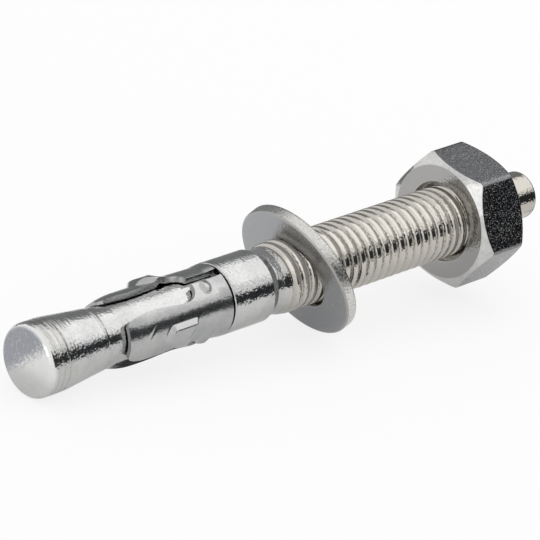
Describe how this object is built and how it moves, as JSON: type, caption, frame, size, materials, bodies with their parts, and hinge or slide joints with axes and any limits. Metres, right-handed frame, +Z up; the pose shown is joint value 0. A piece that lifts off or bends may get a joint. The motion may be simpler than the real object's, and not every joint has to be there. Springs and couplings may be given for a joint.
{
  "type": "wedge anchor",
  "caption": "Wedge anchor for concrete: threaded stud with an expansion cone and collar, a split clip with pressed tabs, a leaning washer and a hexagon nut.",
  "frame": {"origin": "middle of the footprint of the lying anchor, on the surface that it lies on", "axes": "+X level, from the cone end towards the threaded end, above which the stud's axis rises by 5.04 degrees; +Z straight up; the picture was taken from the -Y side"},
  "size_m": [0.0912, 0.0198, 0.0211],
  "materials": {
    "stud_steel": "turned and rolled stainless steel, satin",
    "clip_steel": "stamped stainless sheet, satin",
    "washer_steel": "stamped stainless steel, satin",
    "nut_steel": "cold-formed stainless steel, matt flats and bright chamfers"
  },
  "bodies": {
    "stud": {"anchor_stud": "stud_steel"},
    "clip": {"expansion_clip": "clip_steel"},
    "washer": {"washer": "washer_steel"},
    "nut": {"hex_nut": "nut_steel"}
  },
  "joints": [
    {"name": "clip_turn", "type": "hinge", "parent": "stud", "child": "clip", "pos_m": [-0.02334, 0, 0.00683], "axis": [0.9961, 0, 0.0879], "continuous": true},
    {"name": "washer_slide", "type": "slide", "parent": "stud", "child": "washer", "axis": [0.9961, 0, 0.0879], "range_m": [-0.0045, 0.021]},
    {"name": "nut_turn", "type": "hinge", "parent": "stud", "child": "nut", "pos_m": [0.03305, 0, 0.01181], "axis": [0.9961, 0, 0.0879], "continuous": true}
  ]
}
